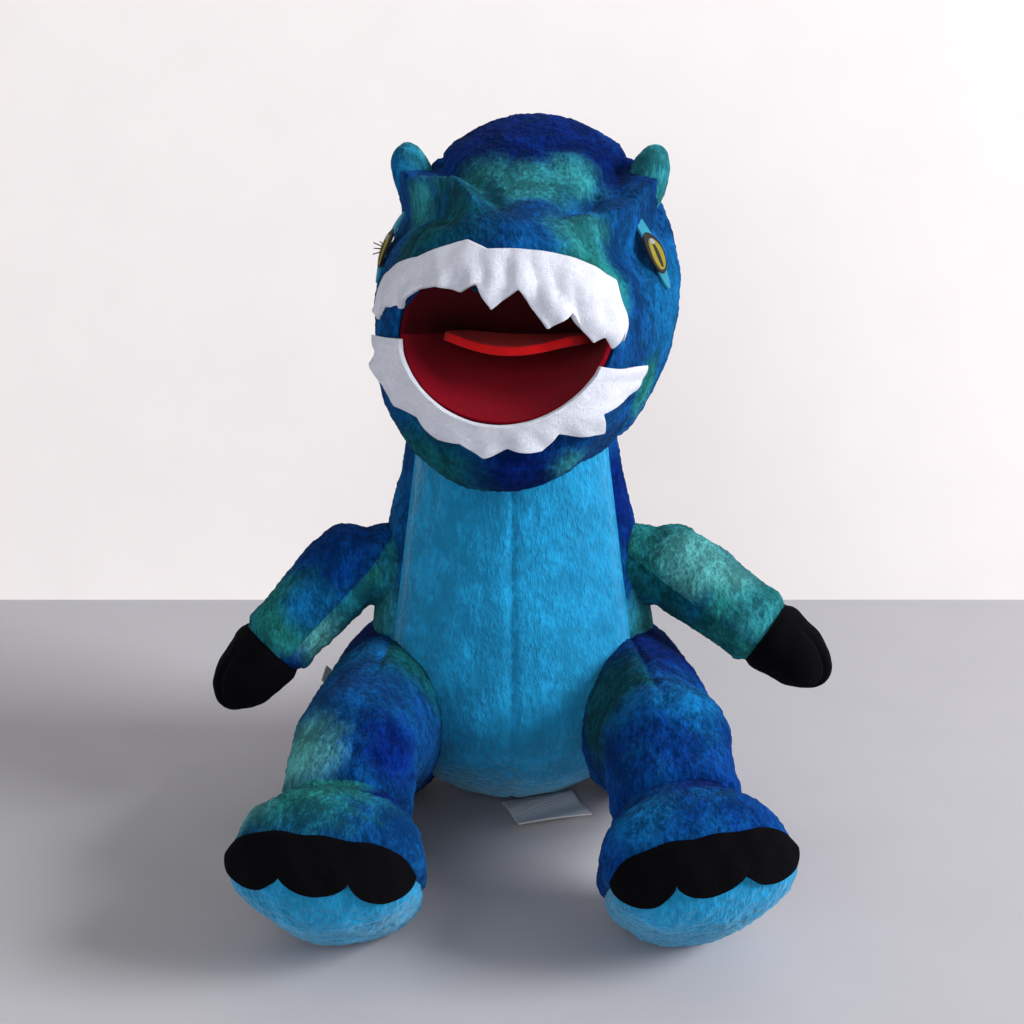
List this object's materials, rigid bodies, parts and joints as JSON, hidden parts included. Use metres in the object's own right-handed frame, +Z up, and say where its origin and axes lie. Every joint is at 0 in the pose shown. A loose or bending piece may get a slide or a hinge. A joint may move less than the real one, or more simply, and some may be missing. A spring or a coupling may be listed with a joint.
{
  "type": "plush dinosaur",
  "caption": "Seated stuffed dinosaur in tie-dye plush with an open felt-toothed mouth, a light belly, dark claws and a tail, on sewn flexing limbs",
  "frame": {"origin": "on the flat seat under the torso, midway between the hips", "axes": "+Z up out of the neck; the toy faces -Y; its left side is +X"},
  "size_m": [0.1513, 0.2043, 0.1708],
  "materials": {
    "tie_dye": "short blue and teal tie-dye plush",
    "belly_blue": "long-nap light blue plush",
    "filling": "loose polyester fibre filling",
    "black_felt": "black felt",
    "white_felt": "white felt",
    "mouth_red": "dark red felt",
    "tongue_red": "bright red felt",
    "eye_thread": "embroidery thread, yellow with black and bright blue",
    "satin": "plain white satin ribbon"
  },
  "bodies": {
    "torso": {"back_panel": "tie_dye", "belly_panel_left": "belly_blue", "belly_panel_right": "belly_blue", "torso_filling": "filling", "care_label": "satin"},
    "head": {"head_gusset": "tie_dye", "head_side_left": "tie_dye", "head_side_right": "tie_dye", "head_filling": "filling", "mouth_lining_upper": "mouth_red", "upper_teeth": "white_felt", "crest_left": "tie_dye", "crest_right": "tie_dye", "eye_left": "eye_thread", "eye_right": "eye_thread"},
    "jaw": {"jaw_skin": "tie_dye", "jaw_filling": "filling", "mouth_lining_lower": "mouth_red", "lower_teeth": "white_felt"},
    "tongue": {"tongue": "tongue_red"},
    "tail": {"tail_skin": "tie_dye", "tail_filling": "filling"},
    "arm_left": {"arm_skin_left": "tie_dye", "arm_filling_left": "filling", "hand_claws_left": "black_felt"},
    "leg_left": {"thigh_skin_left": "tie_dye", "thigh_filling_left": "filling"},
    "foot_left": {"foot_upper_left": "tie_dye", "foot_sole_left": "belly_blue", "foot_filling_left": "filling", "toe_claws_left": "black_felt"},
    "arm_right": {"arm_skin_right": "tie_dye", "arm_filling_right": "filling", "hand_claws_right": "black_felt"},
    "leg_right": {"thigh_skin_right": "tie_dye", "thigh_filling_right": "filling", "side_label": "satin"},
    "foot_right": {"foot_upper_right": "tie_dye", "foot_sole_right": "belly_blue", "foot_filling_right": "filling", "toe_claws_right": "black_felt"}
  },
  "joints": [
    {"name": "head_turn", "type": "hinge", "parent": "torso", "child": "head", "pos_m": [0.0044, 0, 0.0905], "axis": [0, 0, 1], "range_deg": [-20, 20], "stiffness_Nm_per_rad": 0.08},
    {"name": "jaw_close", "type": "hinge", "parent": "head", "child": "jaw", "pos_m": [0.00023, -0.02363, 0.1225], "axis": [-0.9848, 0.1736, 0], "range_deg": [0, 8], "stiffness_Nm_per_rad": 0.05},
    {"name": "tongue_lift", "type": "hinge", "parent": "head", "child": "tongue", "pos_m": [0.00023, -0.02363, 0.1225], "axis": [-0.9848, 0.1736, 0], "range_deg": [0, 6], "stiffness_Nm_per_rad": 0.004},
    {"name": "arm_raise_left", "type": "hinge", "parent": "torso", "child": "arm_left", "pos_m": [0.042, -0.006, 0.061], "axis": [-0.342, -0.9397, 0], "range_deg": [-5, 40], "stiffness_Nm_per_rad": 0.05},
    {"name": "leg_kick_left", "type": "hinge", "parent": "torso", "child": "leg_left", "pos_m": [0.03, -0.004, 0.024], "axis": [-1, 0, 0], "range_deg": [-6, 10], "stiffness_Nm_per_rad": 0.1},
    {"name": "foot_flex_left", "type": "hinge", "parent": "leg_left", "child": "foot_left", "pos_m": [0.03443, -0.05463, 0.03499], "axis": [-0.9962, -0.0872, 0], "range_deg": [-4, 10], "stiffness_Nm_per_rad": 0.05},
    {"name": "arm_raise_right", "type": "hinge", "parent": "torso", "child": "arm_right", "pos_m": [-0.042, -0.006, 0.061], "axis": [-0.342, 0.9397, 0], "range_deg": [-5, 40], "stiffness_Nm_per_rad": 0.05},
    {"name": "leg_kick_right", "type": "hinge", "parent": "torso", "child": "leg_right", "pos_m": [-0.03, -0.004, 0.024], "axis": [-1, 0, 0], "range_deg": [-6, 10], "stiffness_Nm_per_rad": 0.1},
    {"name": "foot_flex_right", "type": "hinge", "parent": "leg_right", "child": "foot_right", "pos_m": [-0.03443, -0.05463, 0.03499], "axis": [-0.9962, 0.0872, 0], "range_deg": [-4, 10], "stiffness_Nm_per_rad": 0.05},
    {"name": "tail_swing", "type": "hinge", "parent": "torso", "child": "tail", "pos_m": [0, 0.033, 0.0159], "axis": [0, 0, 1], "range_deg": [-20, 20], "stiffness_Nm_per_rad": 0.05}
  ]
}
